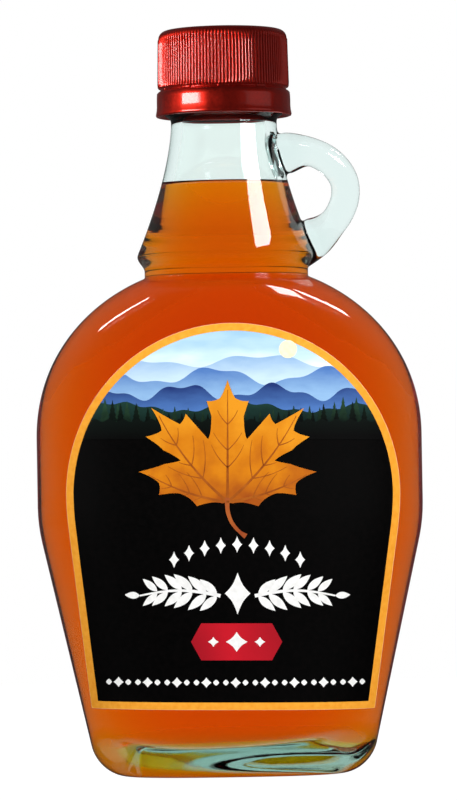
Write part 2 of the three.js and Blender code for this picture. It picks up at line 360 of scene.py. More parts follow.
syrup = {
    "fillLevel": 126.2, "intoWall": 0.05, "meniscusHeight": 0.7, "meniscusReach": 1.0,
    "wettedReach": 1.0, "dryTop": 0.1,
    "absorptionColour": (0.988, 0.887, 0.02), "absorptionDensity": 660.0,
}


# Glass: outside with its recessed base, loop handle, hollow

handle = {
    "inPlane": 6.1, "across": 6.6, "exponent": 2.4,
    "innerFlare": 0.7, "outerFlare": 0.25, "flareReach": (1.0, 7.5),
    "route": ((9.6, 133.6), (14.6, 133.9), (19.2, 133.3), (23.2, 130.9), (25.6, 127.4), (25.9, 123.8),
              (24.6, 120.2), (22.0, 116.9), (18.6, 113.9), (14.6, 111.2)),
    "columns": 44, "stepsPerSpan": 14,
    # the fillet: where the crease with the neck is looked for, and how far and how often it is relaxed
    "joinFrom": 11.5, "joinHalfAcross": 6.5, "joinHeights": (107.0, 139.5), "creaseAngle": 0.35,
    "skinDepth": 1.2, "filletReach": 1.2, "filletRounds": 12,
}


def smoothRoute(route, steps):
    # centripetal Catmull-Rom through the points: Hermite cubics whose knots go by the root of the spacing
    p = np.array(route, float)
    p = np.vstack([2 * p[0] - p[1], p, 2 * p[-1] - p[-2]])
    knot = np.sqrt(np.linalg.norm(np.diff(p, axis=0), axis=1))[:, None]
    before, here, after = knot[:-2], knot[1:-1], knot[2:]
    slopeIn = (p[1:-2] - p[:-3]) / before - (p[2:-1] - p[:-3]) / (before + here) + (p[2:-1] - p[1:-2]) / here
    slopeOut = (p[2:-1] - p[1:-2]) / here - (p[3:] - p[1:-2]) / (here + after) + (p[3:] - p[2:-1]) / after
    t = np.linspace(0, 1, steps, endpoint=False)[None, :, None]
    a, b = p[1:-2][:, None], p[2:-1][:, None]
    m0, m1 = (slopeIn * here)[:, None], (slopeOut * here)[:, None]
    toB = 3 * t ** 2 - 2 * t ** 3
    curve = (1 - toB) * a + toB * b + (t ** 3 - 2 * t ** 2 + t) * m0 + (t ** 3 - t ** 2) * m1
    return np.vstack([curve.reshape(-1, 2), p[-2]])


def handleBar():
    # a superellipse section carried along the route in the XZ plane, fuller on its inner side near the neck
    h = handle
    centre = smoothRoute(h["route"], h["stepsPerSpan"])
    tangent = np.gradient(centre, axis=0)
    tangent /= np.linalg.norm(tangent, axis=1)[:, None]
    inward = np.stack([tangent[:, 1], -tangent[:, 0]], axis=-1)
    root = 1 - ease(centre[:, 0] - neckOuter(centre[:, 1]), *h["flareReach"])[:, None]
    angle = np.linspace(0, tau, h["columns"], endpoint=False)[None, :]
    c, s = np.cos(angle), np.sin(angle)
    power = 2 / h["exponent"]
    side = np.where(c > 0, h["innerFlare"], h["outerFlare"])
    p = h["inPlane"] / 2 * np.sign(c) * np.abs(c) ** power * (1 + side * root)
    q = h["across"] / 2 * np.sign(s) * np.abs(s) ** power * (1 + h["outerFlare"] * root)
    x = centre[:, :1] + inward[:, :1] * p
    z = centre[:, 1:] + inward[:, 1:] * p
    return np.stack([x, q, z], axis=-1)


def blankRings():
    # from the middle of the recess out over the bearing ring, up the outside and in over the lip
    f = flask
    baseWidth, baseDepth = (float(v) for v in outerHalfSizes(0.0))
    ramp = np.linspace(0, 1, 10)
    recessInset = f["bearingWidth"] + f["pushUpSlope"] * (1 - ramp)
    recessZ = f["pushUpHeight"] * (1 - ease(ramp, 0, 1))
    floorScale = np.array([0.2, 0.45, 0.7, 0.88])
    innermost = f["bearingWidth"] + f["pushUpSlope"]
    widths = np.concatenate([floorScale * (baseWidth - innermost), baseWidth - recessInset])
    depths = np.concatenate([floorScale * (baseDepth - innermost), baseDepth - recessInset])
    levels = np.concatenate([np.full(len(floorScale), f["pushUpHeight"]), recessZ])
    recess = rings(widths, depths, f["planExponent"], levels, f["outerColumns"])

    turn = np.linspace(0, math.pi / 2, 18, endpoint=False)
    z = np.concatenate([
        f["heelHeight"] * (1 - np.cos(turn)),
        spread((f["heelHeight"], 36), (f["shoulderStart"], 56), (f["waistFoot"], 34),
               (f["collarTop"], 46), (f["neckFlareTop"], 1)),
    ])
    halfWidth, halfDepth = outerHalfSizes(z)
    outside = rings(halfWidth, halfDepth, planExponentAt(z), z, f["outerColumns"])

    neck, lip, bevel = f["neckRadius"], f["finishRadius"], f["finishBevel"]
    foot, rim = f["finishBottom"], f["mouthLevel"]
    finish = np.array([
        (neck, f["neckFlareTop"] + 0.6), (neck + 0.1, foot - bevel), (neck + 0.5, foot - 0.6 * bevel),
        (lip - 0.3, foot - 0.2 * bevel), (lip, foot + 0.3), (lip, foot + 3),
        (lip, rim - bevel), (lip - 0.3 * bevel, rim - 0.3 * bevel), (lip - bevel, rim),
    ])
    finishRings = rings(finish[:, 0], finish[:, 0], 2, finish[:, 1], f["outerColumns"])
    return np.concatenate([recess, outside, finishRings])


def roundTheJoin(piece):
    # relaxes the crease where the handle meets the neck, as hot glass flows into a fillet
    h = handle
    shape = bmesh.new()
    shape.from_mesh(piece.data)
    low, high = h["joinHeights"]

    def byTheJoin(vert):
        x, y, z = vert.co / mm
        return x > h["joinFrom"] and abs(y) < h["joinHalfAcross"] and low < z < high

    sharp = [edge for edge in shape.edges if edge.is_manifold and edge.calc_face_angle(0) > h["creaseAngle"]]
    crease = np.array([vert.co[:] for vert in {v for edge in sharp for v in edge.verts if byTheJoin(v)}]) / mm
    places = np.array([vert.co[:] for vert in shape.verts]) / mm
    # only the outer skin, so that the hollow keeps its shape
    onSkin = np.hypot(places[:, 0], places[:, 1]) > neckOuter(places[:, 2]) - h["skinDepth"]
    reach = h["filletReach"]
    near = np.all((places > crease.min(axis=0) - reach) & (places < crease.max(axis=0) + reach), axis=1)
    chosen = np.flatnonzero(onSkin & near)
    distance = np.linalg.norm(places[chosen][:, None] - crease[None], axis=2).min(axis=1)
    shape.verts.ensure_lookup_table()
    soft = [shape.verts[i] for i in chosen[distance < reach]]
    for _ in range(h["filletRounds"]):
        bmesh.ops.smooth_vert(
            shape, verts=soft, factor=0.5, use_axis_x=True, use_axis_y=True, use_axis_z=True)
    shape.to_mesh(piece.data)
    shape.free()


def clearMaterial(name, ior, surface, absorption, density, noiseScale, detail, haziest):
    # a clear solid or liquid: light is lost by the colour and density of its depth, its surface is next
    # to smooth with faint cloudy haze, and it throws back hardly any light where it is wetted
    material, tree, shader, place = newMaterial(name, {
        "IOR": ior, "Transmission Weight": 1.0, "Base Color": linear(surface),
    })
    dryGleam(tree, shader)
    depth = addNode(tree, "ShaderNodeVolumeAbsorption", {"Color": absorption + (1.0,), "Density": density})
    tree.links.new(depth.outputs["Volume"], tree.nodes["Material Output"].inputs["Volume"])
    cloud = addNode(tree, "ShaderNodeTexNoise", {"Scale": noiseScale, "Detail": detail}, {"Vector": place})
    haze = addNode(tree, "ShaderNodeMapRange", {
        "From Min": 0.4, "From Max": 0.8, "To Min": 0.0, "To Max": haziest,
    }, {"Value": cloud.outputs["Fac"]})
    tree.links.new(haze.outputs["Result"], shader.inputs["Roughness"])
    return material


def glassMaterial():
    # clear soda-lime glass, blown in a mould: next to colourless through the wall, sea green through the base
    return clearMaterial("clearSodaLimeGlass", 1.52, "#fbfffd", flask["absorptionColour"],
                         flask["absorptionDensity"], 0.18 / mm, 2.0, 0.03)     # haze in clouds of 6 mm


def markWetted(piece, clearance, low, high):
    # marks faces of the hollow between two heights: (|x|/a)^n + (|y|/b)^n < 1 just outside the inner wall
    mesh = piece.data
    centres = np.empty(len(mesh.polygons) * 3)
    mesh.polygons.foreach_get("center", centres)
    x, y, z = centres.reshape(-1, 3).T / mm
    # the uneven floor dips below the even one, so the rounded heel is read a little higher up
    level = np.where(z < flask["baseThickness"] + flask["innerHeel"], z + flask["floorDip"], z)
    halfWidth, halfDepth = innerHalfSizes(level, clearance)
    exponent = planExponentAt(z)
    within = (np.abs(x) / halfWidth) ** exponent + (np.abs(y) / halfDepth) ** exponent < 1
    wetted = within & (z > low) & (z < high)
    mesh.attributes.new("wetted", "FLOAT", "FACE").data.foreach_set("value", wetted.astype(np.float32))


def buildGlass():
    # outside joined with the handle, less the hollow; then the fillet and the wetted faces
    f = flask
    material = glassMaterial()
    bottle = makePiece("glassFlask", *closedSkin(blankRings()), material)
    bar = makePiece("handleBar", *closedSkin(handleBar()), material)
    combine(bottle, bar, "UNION")
    turn = np.linspace(0, math.pi / 2, 16, endpoint=False)
    floor = f["baseThickness"]
    z = np.concatenate([
        floor + f["innerHeel"] * (1 - np.cos(turn)),
        spread((floor + f["innerHeel"], 30), (f["shoulderStart"], 44),
               (f["innerWaistLevel"], 40), (f["neckFlareTop"], 1)),
    ])
    hollow = hollowRings(z, 0, f["innerColumns"])
    mouthZ = np.array([f["finishBottom"], 0.5 * (f["finishBottom"] + f["mouthLevel"]), f["mouthLevel"] + 1.0])
    mouthR = np.full(3, f["mouthRadius"])
    mouth = rings(mouthR, mouthR, 2, mouthZ, f["innerColumns"])
    hollowPiece = makePiece("hollow", *closedSkin(np.concatenate([hollow, mouth])), material)
    combine(bottle, hollowPiece, "DIFFERENCE")
    roundTheJoin(bottle)
    bottle.data.polygons.foreach_set("use_smooth", np.full(len(bottle.data.polygons), True))
    markWetted(bottle, -f["wettedReach"], floor - f["floorDip"], syrup["fillLevel"])
    return dress(bottle, "clear_glass", "glass")


glassFlask = buildGlass()
print("glass flask made:", len(glassFlask.data.polygons), "faces")


# Syrup: the hollow up to the fill line, reaching just into the glass, with a small meniscus

def syrupMaterial():
    # boiled maple sap, a clear thick sugar syrup: gold where thin, deep orange-red through the body;
    # only its free surface gleams, as its sides lie against the glass
    return clearMaterial("mapleSyrup", 1.46, "#fffaf0", syrup["absorptionColour"],
                         syrup["absorptionDensity"], 0.06 / mm, 1.0, 0.04)     # haze in clouds of 17 mm


def buildSyrup():
    # the hollow's own rings a hair wider, shut by the surface's rings
    f, s = flask, syrup
    reach = -s["intoWall"]
    top = s["fillLevel"] + s["meniscusHeight"]
    floor = f["baseThickness"] + reach
    turn = np.linspace(0, math.pi / 2, 16, endpoint=False)
    z = np.concatenate([
        floor + f["innerHeel"] * (1 - np.cos(turn)),
        spread((floor + f["innerHeel"], 30), (f["shoulderStart"], 44), (f["innerWaistLevel"], 28), (top, 1)),
    ])
    body = hollowRings(z, reach, f["innerColumns"])
    # the surface sinks away from the wall as height = meniscus * exp(-distance / reach)
    scale = np.array([0.985, 0.965, 0.94, 0.9, 0.85, 0.75, 0.6, 0.4, 0.2])[:, None, None]
    rim = body[-1:]
    surface = rim * np.array([1, 1, 0]) * scale
    distance = (1 - scale[..., 0]) * np.linalg.norm(rim[..., :2], axis=-1)
    surface[..., 2] = s["fillLevel"] + s["meniscusHeight"] * np.exp(-distance / s["meniscusReach"])
    piece = makePiece("mapleSyrup", *closedSkin(np.concatenate([body, surface])), syrupMaterial())
    markWetted(piece, -s["wettedReach"], 0.0, s["fillLevel"] - s["dryTop"])
    return dress(piece, "maple_syrup", "syrup")


mapleSyrup = buildSyrup()
print("syrup made")


# Cap: a drawn aluminium shell, ribbed grip above, groove with its bridges, plain band rolled under the collar

cap = {
    "top": 160.0, "bottom": 141.4, "topRadius": 13.95, "lowRadius": 14.2, "corner": 1.8,
    "ribs": 120, "ribDepth": 0.34, "samplesPerRib": 8, "gripBottom": 148.1, "gripTop": 157.9,
    "grooveLevel": 147.2, "grooveRadius": 13.75, "bandRadius": 14.4, "bandLip": 14.65,
    "bridges": 10, "slitDepth": 0.22, "dent": 0.025,
    "boreRadius": 13.2, "ceiling": 159.0,
}


def capProfile():
    # radius, height, share of the ribs, share of the slits, share of the dents, from the ceiling's middle
    # down the bore, round the lip, up the outside and in over the top
    c = cap
    bore, ceiling, bottom, top = c["boreRadius"], c["ceiling"], c["bottom"], c["top"]
    lip, band, groove, slit = c["bandLip"], c["bandRadius"], c["grooveRadius"], c["grooveLevel"]
    turn = np.linspace(0, math.pi / 2, 9)
    cornerR = c["topRadius"] - 0.1 - c["corner"] * (1 - np.cos(turn))
    cornerZ = top - c["corner"] * (1 - np.sin(turn))
    cornerRib = 0.55 * (1 - ease(turn, 0.0, 0.75))
    gripZ = np.linspace(c["gripBottom"] + 0.5, c["gripTop"], 9)
    lean = (top - gripZ) / (top - c["gripBottom"])
    gripR = c["topRadius"] + (c["lowRadius"] - c["topRadius"]) * lean
    rows = [
        (4.0, ceiling, 0, 0, 0), (9.0, ceiling, 0, 0, 0), (bore - 0.3, ceiling, 0, 0, 0),
        (bore, ceiling - 0.3, 0, 0, 0), (bore, bottom + 8.6, 0, 0, 0), (bore, bottom + 1.2, 0, 0, 0),
        (bore + 0.25, bottom + 0.5, 0, 0, 0), (lip - 0.75, bottom + 0.12, 0, 0, 0.5),
        (lip - 0.4, bottom, 0, 0, 1), (lip - 0.1, bottom + 0.12, 0, 0, 1), (lip, bottom + 0.42, 0, 0, 1),
        (lip - 0.08, bottom + 0.8, 0, 0, 1), (band + 0.06, bottom + 1.4, 0, 0, 1),
        (band, bottom + 2.2, 0, 0, 1), (band, bottom + 3.2, 0, 0, 1), (band - 0.02, bottom + 4.2, 0, 0, 0.8),
        (band - 0.08, slit - 0.75, 0, 0, 0.3), (groove + 0.3, slit - 0.42, 0, 0.2, 0),
        (groove, slit - 0.18, 0, 1, 0), (groove, slit + 0.14, 0, 1, 0),
        (groove + 0.3, slit + 0.36, 0.2, 0.2, 0), (c["lowRadius"] - 0.06, slit + 0.62, 0.75, 0, 0),
    ]
    grip = np.stack([gripR, gripZ, np.ones(9), np.zeros(9), np.zeros(9)], axis=-1)
    corner = np.stack([cornerR, cornerZ, cornerRib, np.zeros(9), np.zeros(9)], axis=-1)
    lid = [(11.0, top, 0, 0, 0), (8.0, top - 0.03, 0, 0, 0), (4.0, top - 0.05, 0, 0, 0)]
    return np.concatenate([np.array(rows, float), grip, corner, np.array(lid, float)])


def capMaterial():
    # thin sheet aluminium, rolled and drawn, under a see-through red lacquer: a soft metal gleam in fine
    # grain, with a sharper pale gleam of the lacquer over it
    material, tree, shader, place = newMaterial("redLacqueredAluminium", {
        "Metallic": 1.0, "Coat Weight": 0.8, "Coat Roughness": 0.12,
    })
    # the grain of rolled sheet is finer than a pixel, so it is drawn 0.7 mm wide to show; clouds of 7 mm
    grain = addNode(tree, "ShaderNodeTexNoise", {"Scale": 1.5 / mm, "Detail": 3.0, "Roughness": 0.7},
                    {"Vector": place})
    cloud = addNode(tree, "ShaderNodeTexNoise", {"Scale": 0.14 / mm, "Detail": 2.0}, {"Vector": place})
    speck = addNode(tree, "ShaderNodeMath", {"operation": "MULTIPLY_ADD", 1: 0.6, 2: 0.2},
                    {0: grain.outputs["Fac"]})
    blend = addNode(tree, "ShaderNodeMath", {"operation": "MULTIPLY_ADD", 1: 0.4},
                    {0: cloud.outputs["Fac"], 2: speck.outputs["Value"]})
    colour = addNode(tree, "ShaderNodeValToRGB", {}, {"Fac": blend.outputs["Value"]})
    setRamp(colour, [(0.3, linear("#97150d")), (0.75, linear("#d42b1c"))])
    tree.links.new(colour.outputs["Color"], shader.inputs["Base Color"])
    rough = addNode(tree, "ShaderNodeMapRange", {
        "From Min": 0.3, "From Max": 0.8, "To Min": 0.3, "To Max": 0.46,
    }, {"Value": blend.outputs["Value"]})
    tree.links.new(rough.outputs["Result"], shader.inputs["Roughness"])
    bump = addNode(tree, "ShaderNodeBump", {"Strength": 0.25, "Distance": 0.02 * mm},
                   {"Height": grain.outputs["Fac"]})
    tree.links.new(bump.outputs["Normal"], shader.inputs["Normal"])
    return material


def buildCap():
    # radius(angle, row) = profile - rib - slit + dent
    c = cap
    profile = capProfile()
    angle = np.linspace(0, tau, c["ribs"] * c["samplesPerRib"], endpoint=False)[None, :]
    rib = c["ribDepth"] * (0.5 - 0.5 * np.cos(c["ribs"] * angle)) ** 0.8
    slit = c["slitDepth"] * ease(np.cos(c["bridges"] * angle), -0.75, -0.55)
    dent = np.sin(7 * angle + 0.6) + 0.6 * np.sin(17 * angle + 2.1) + 0.5 * np.sin(29 * angle + 4.0)
    radius, height, ribShare, slitShare, dentShare = (column[:, None] for column in profile.T)
    radius = radius - ribShare * rib - slitShare * slit + dentShare * c["dent"] * dent
    height = np.broadcast_to(height, radius.shape)
    grid = np.stack([radius * np.cos(angle), radius * np.sin(angle), height], axis=-1)
    piece = makePiece("rollOnCap", *closedSkin(grid), capMaterial())
    return dress(piece, "lacquered_aluminium", "cap")


rollOnCap = buildCap()
print("cap made")


# Label: paper on the front of the glass, then the print in thin layers of ink over it

label = {
    "halfWidth": 35.4, "bottom": 14.6, "top": 96.1, "archStart": 60.0, "taperStart": 57.0,
    "sideSlope": 0.125, "blend": 0.5, "shift": 0.6, "lean": 0.0169,
    "lift": 0.02, "paper": 0.1, "ink": 0.02, "border": 1.6,
}


def labelHalf(v, inset=0.0):
    # half-width at height v: the side's taper under a half-ellipse arch
    s = label
    side = s["halfWidth"] + s["sideSlope"] * (v - s["taperStart"]) - inset
    arch = (s["halfWidth"] - inset) * quarterArc(v, s["archStart"], s["top"] - inset - s["archStart"], 2)
    return softMin(side, arch, s["blend"])


def archTop(u, inset):
    # height of the arch over u, measured from the label's own middle
    s = label
    share = np.clip(np.abs(u) / (s["halfWidth"] - inset), 0, 1)
    return s["archStart"] + (s["top"] - inset - s["archStart"]) * np.sqrt(1 - share * share)


def onFront(u, v, lift):
    # a point of the flat print laid on the flask's front, lift millimetres proud of the glass
    s = label
    x = u + s["shift"] + s["lean"] * (v - 0.5 * (s["bottom"] + s["top"]))
    z = v - s["lean"] * u
    halfWidth, halfDepth = outerHalfSizes(z)
    exponent = planExponentAt(z)
    share = np.clip(np.abs(x) / (halfWidth + lift), 0, 1)
    y = -(halfDepth + lift) * (1 - share ** exponent) ** (1 / exponent)
    return np.stack([x, y, z], axis=-1)


def layerLift(layer):
    # lift + paper + ink * layer, off the glass
    return label["lift"] + label["paper"] + label["ink"] * layer


def inkSheet(u, v, layer):
    # a closed film of ink over the grid u, v
    low = layerLift(layer)
    return thinShell(onFront(u, v, low + label["ink"]), onFront(u, v, low))


def inkShape(outline, centre, layer, steps=(0.04, 0.36, 0.7, 1.0)):
    # a closed film of ink inside a loop of points that its centre can see all of; goes anticlockwise
    low, loop = layerLift(layer), np.asarray(outline, float)
    centre = np.asarray(centre, float)
    scale = np.array(steps)[:, None, None]
    grown = centre + (loop[None] - centre) * scale
    back = onFront(grown[..., 0], grown[..., 1], low)
    front = onFront(grown[..., 0], grown[..., 1], low + label["ink"])[::-1]
    return closedSkin(np.concatenate([back, front]))


def inkStroke(path, widths, layer):
    # a stroke along a path, its width given at each point
    path = np.asarray(path, float)
    tangent = np.gradient(path, axis=0)
    tangent /= np.linalg.norm(tangent, axis=1)[:, None]
    normal = np.stack([-tangent[:, 1], tangent[:, 0]], axis=-1)
    half = 0.5 * np.asarray(widths, float)[:, None]
    left, right = path + normal * half, path - normal * half
    u = np.stack([right[:, 0], left[:, 0]], axis=0)
    v = np.stack([right[:, 1], left[:, 1]], axis=0)
    return inkSheet(u, v, layer)


def bandOfPrint(u, low, high, rows, layer):
    # fills between two curves over u
    t = np.linspace(0, 1, rows)[:, None]
    return inkSheet(np.broadcast_to(u, (rows, len(u))), low[None] * (1 - t) + high[None] * t, layer)


def outlineSheet(inset, rows=90, columns=60):
    # rows of the label's outline, closer together under the top of the arch
    s = label
    low, high = s["bottom"] + inset, s["top"] - inset - 0.004
    v = low + (high - low) * np.sin(np.linspace(0, math.pi / 2, rows))
    half = np.maximum(labelHalf(v, inset), 0.2)
    across = np.linspace(-1, 1, columns)[None, :]
    return half[:, None] * across, np.broadcast_to(v[:, None], (rows, columns))


def inkMaterial(name, stops, scale=0.9 / mm, stretch=(1, 1, 1), roughness=(0.5, 0.6), axis=None, span=None):
    # offset ink on matt paper: even colour, a faint mottle of about 1 mm where no other scale is given,
    # and next to no gloss, so that black stays deep;
    # span is from, to and unevenness of a run of colour along the axis, from the first stop to the last
    material, tree, shader, place = newMaterial(name, {"IOR": 1.45, "Specular IOR Level": 0.03})
    fit = addNode(tree, "ShaderNodeMapping", {"Scale": stretch}, {"Vector": place})
    mottle = addNode(tree, "ShaderNodeTexNoise", {"Scale": scale, "Detail": 3.0},
                     {"Vector": fit.outputs["Vector"]})
    value = mottle.outputs["Fac"]
    if span:
        parts = addNode(tree, "ShaderNodeSeparateXYZ", {}, {"Vector": place})
        run = addNode(tree, "ShaderNodeMapRange", {"From Min": span[0] * mm, "From Max": span[1] * mm},
                      {"Value": parts.outputs[axis]})
        sway = addNode(tree, "ShaderNodeMath", {"operation": "MULTIPLY_ADD", 1: span[2], 2: -0.5 * span[2]},
                       {0: mottle.outputs["Fac"]})
        value = addNode(tree, "ShaderNodeMath", {"operation": "ADD"},
                        {0: run.outputs["Result"], 1: sway.outputs["Value"]}).outputs["Value"]
    colour = addNode(tree, "ShaderNodeValToRGB", {}, {"Fac": value})
    setRamp(colour, [(position, linear(shade)) for position, shade in stops])
    tree.links.new(colour.outputs["Color"], shader.inputs["Base Color"])
    rough = addNode(tree, "ShaderNodeMapRange", {"To Min": roughness[0], "To Max": roughness[1]},
                    {"Value": mottle.outputs["Fac"]})
    tree.links.new(rough.outputs["Result"], shader.inputs["Roughness"])
    return material


def paperMaterial():
    # uncoated back of label paper, off-white; its fibres are drawn 0.4 mm wide, coarser than real, to show
    material, tree, shader, place = newMaterial("labelPaper", {"IOR": 1.5})
    fibre = addNode(tree, "ShaderNodeTexNoise", {"Scale": 2.5 / mm, "Detail": 4.0}, {"Vector": place})
    colour = addNode(tree, "ShaderNodeValToRGB", {}, {"Fac": fibre.outputs["Fac"]})
    setRamp(colour, [(0.3, linear("#d9d2c2")), (0.7, linear("#efeadd"))])
    tree.links.new(colour.outputs["Color"], shader.inputs["Base Color"])
    rough = addNode(tree, "ShaderNodeMapRange", {"To Min": 0.6, "To Max": 0.8},
                    {"Value": fibre.outputs["Fac"]})
    tree.links.new(rough.outputs["Result"], shader.inputs["Roughness"])
    return material


def printPiece(name, parts, material):
    # several films of one ink as one piece, with crisp edges
    return dress(makePiece(name, *joinParts(parts), material, 0.6), "printed_paper")


def buildPaper():
    # the whole outline, as thick as the paper, just off the glass
    s = label
    u, v = outlineSheet(0.0)
    points, faces = thinShell(onFront(u, v, s["lift"] + s["paper"]), onFront(u, v, s["lift"]))
    return dress(makePiece("labelPaper", points, faces, paperMaterial(), 0.6), "printed_paper", "label")


def buildFields():
    # the border's ink over all of the paper, and the black field over that, set in by the border
    border = inkMaterial("orangeInk", [(0.3, "#ea982a"), (0.7, "#f3a73a")])
    black = inkMaterial("blackInk", [(0.3, "#010101"), (0.7, "#040303")])
    printPiece("labelBorder", [inkSheet(*outlineSheet(0.03), 0)], border)
    printPiece("labelField", [inkSheet(*outlineSheet(label["border"]), 1)], black)


buildPaper()
buildFields()
print("label paper, border and field made")


# Picture in the arch: a morning sky over rolling hills, with a stand of young firs along the bottom

picture = {
    "inset": 1.6, "bottom": 75.0, "skyBottom": 81.0, "columns": 150, "clear": 0.02,
    "hills": (
        # name, height at the middle, waves as (height, length, phase), ink at the foot and at the crest
        ("farHills", 88.2, ((1.1, 31.0, 0.4), (0.5, 12.0, 1.9)), ("#c3dcee", "#86abd4")),
        ("middleHills", 85.0, ((1.6, 24.0, 2.6), (0.5, 9.0, 0.3)), ("#8db4dc", "#4c75b6")),
        ("nearHills", 81.6, ((1.4, 19.0, 5.0), (0.6, 7.5, 1.2)), ("#4a72b2", "#22356f")),
        ("meadow", 78.4, ((0.9, 27.0, 1.0), (0.3, 6.0, 0.0)), ("#0b1513", "#1d3a33")),
    ),
    "sunCentre": (11.5, 90.6), "sunRadius": 1.9,
    "firs": 44, "firBase": 74.6, "firHeight": (2.8, 7.2), "firSeed": 7,
    "firMargin": 2.18, "firShift": 0.6,
}


def withinArch(u, v):
    # keeps print at height v inside the black field
    return np.minimum(v, archTop(u, picture["inset"]) - picture["clear"])


def hillLine(u, level, waves):
    # level + the sum of height * sin(2 pi u / length + phase)
    return level + sum(height * np.sin(tau * u / length + phase) for height, length, phase in waves)


def archReach(v):
    # how far print at height v may reach to each side
    return float(labelHalf(np.array(v), picture["inset"])) - picture["clear"]


def buildSky():
    # the sky fills from its foot up to the arch, under a round sun
    p = picture
    u = archReach(p["skyBottom"]) * np.sin(np.linspace(-math.pi / 2, math.pi / 2, p["columns"]))
    low = np.full(len(u), p["skyBottom"])
    sky = bandOfPrint(u, low, np.maximum(withinArch(u, label["top"]), low + 0.01), 30, 2)
    skyInk = inkMaterial("skyInk", [(0.0, "#f2f6f8"), (0.45, "#c3dff1"), (1.0, "#8fbbe2")],
                         scale=0.09 / mm, stretch=(1, 1, 3.5), axis="Z", span=(85, 95, 0.9))
    printPiece("labelSky", [sky], skyInk)
    loop = np.linspace(0, tau, 40, endpoint=False)
    centre = np.array(p["sunCentre"])
    sun = centre + p["sunRadius"] * np.stack([np.cos(loop), np.sin(loop)], axis=-1)
    sunInk = inkMaterial("paleGoldInk", [(0.3, "#fbe9b4"), (0.7, "#fff4d0")])
    printPiece("labelSun", [inkShape(sun, centre, 3)], sunInk)


def buildHills():
    # each range fills from the picture's foot up to its own line of waves
    p = picture
    reach = archReach(p["bottom"])
    u = np.linspace(-reach, reach, p["columns"])
    for i, (name, level, waves, shades) in enumerate(p["hills"]):
        ridge = withinArch(u, hillLine(u, level, waves))
        low = np.full(len(u), p["bottom"] - 0.6 * i)
        sheet = bandOfPrint(u, low, np.maximum(ridge, low + 0.01), 8, 3 + i)
        ink = inkMaterial(name + "Ink", [(0.0, shades[0]), (1.0, shades[1])], scale=0.26 / mm,
                          stretch=(1, 1, 2.5), axis="Z", span=(level - 4, level + 1.5, 0.5))
        printPiece("label" + name[0].upper() + name[1:], [sheet], ink)


def firTree(foot, base, height, layer):
    # a fir: half-width = 0.24 height (1 - t) skirt, and the skirt steps out afresh five times on the way up
    tiers = 5
    t = np.linspace(0, 1, 4 * tiers + 1)
    skirt = 1 - 0.45 * ((t * tiers) % 1.0)
    half = height * 0.24 * (1 - t) * skirt + 0.03
    u = foot + half[:, None] * np.array([-1.0, 0.0, 1.0])[None, :]
    v = np.broadcast_to((base + height * t)[:, None], u.shape)
    return inkSheet(u, v, layer)


def buildFirs():
    # an even row, each tree shifted and shortened by a seeded draw, every other one paler and behind
    p = picture
    draw = np.random.default_rng(p["firSeed"])
    span = archReach(p["bottom"] + 2) - p["firMargin"]
    feet = np.linspace(-span, span, p["firs"]) + draw.uniform(-p["firShift"], p["firShift"], p["firs"])
    sides = np.abs(feet) / span                      # taller towards both sides, low in the middle
    heights = p["firHeight"][0] + (p["firHeight"][1] - p["firHeight"][0]) * sides ** 1.5
    room = archTop(feet, p["inset"]) - p["firBase"] - 0.4
    heights = np.minimum(heights * draw.uniform(0.65, 1.0, p["firs"]), room)
    rows = {"labelFirsBehind": ("#0a1510", "#2c4c36"), "labelFirs": ("#040706", "#14241b")}
    for row, (name, shades) in enumerate(rows.items()):
        chosen = [i for i in range(row, p["firs"], 2) if heights[i] > 1.5]
        trees = [firTree(feet[i], p["firBase"], heights[i] * (1.0 - 0.15 * row), 7 + row) for i in chosen]
        ink = inkMaterial(name.removeprefix("label") + "Ink", [(0.0, shades[0]), (1.0, shades[1])],
                          scale=0.7 / mm, axis="Z", span=(75, 81, 0.6))
        printPiece(name, trees, ink)


def buildDusk():
    # dark ground under the trees, which turns to the label's black
    p = picture
    reach = archReach(p["bottom"] - 2.6)
    u = np.linspace(-reach, reach, 120)
    crest = withinArch(u, p["bottom"] + 0.6 + 0.35 * np.sin(u * 2.1))
    ground = bandOfPrint(u, np.full(len(u), p["bottom"] - 3.4), crest, 5, 9)
    shade = inkMaterial("duskInk", [(0.0, "#050505"), (1.0, "#0b120f")], axis="Z", span=(72, 76, 0.2))
    printPiece("labelDusk", [ground], shade)


buildSky()
buildHills()
buildFirs()
buildDusk()
print("picture made")


# Maple leaf: upright, drawn with five lobes, veins and a short curved stalk

leaf = {
    "foot": (-1.2, 54.6), "height": 29.5, "layer": 10,
    # corners of the right half as shares of the height, from the top lobe down to the stalk
    "right": ((0.0, 1.0), (0.055, 0.87), (0.15, 0.85), (0.115, 0.74), (0.14, 0.575), (0.30, 0.76),
              (0.34, 0.685), (0.545, 0.80), (0.47, 0.64), (0.585, 0.595), (0.46, 0.50), (0.335, 0.425),
              (0.45, 0.40), (0.635, 0.345), (0.49, 0.265), (0.49, 0.18), (0.34, 0.19), (0.22, 0.10),
              (0.035, 0.12)),
    "centre": (0.0, 0.42), "veinRoot": (0.0, 0.13),
    "veinTips": ((0.0, 0.93), (0.49, 0.745), (0.565, 0.325)),
    "veinWidth": 0.62, "sideVeinWidth": 0.26, "cupping": 0.09,
    "twigsAt": (0.34, 0.52, 0.7), "twigTurn": 0.62,
    "stalk": ((0.0, 0.16), (0.13, -0.115)), "stalkBow": -0.16,
}


def alongSides(corners, steps):
    # from each corner on to the next: corner (1 - t) + next corner t, with that t
    t = np.linspace(0, 1, steps, endpoint=False)[None, :, None]
    return corners[:, None] * (1 - t) + np.roll(corners, -1, axis=0)[:, None] * t, t


def leafPoint(point):
    # foot + height * point
    return np.array(leaf["foot"]) + leaf["height"] * np.asarray(point, float)


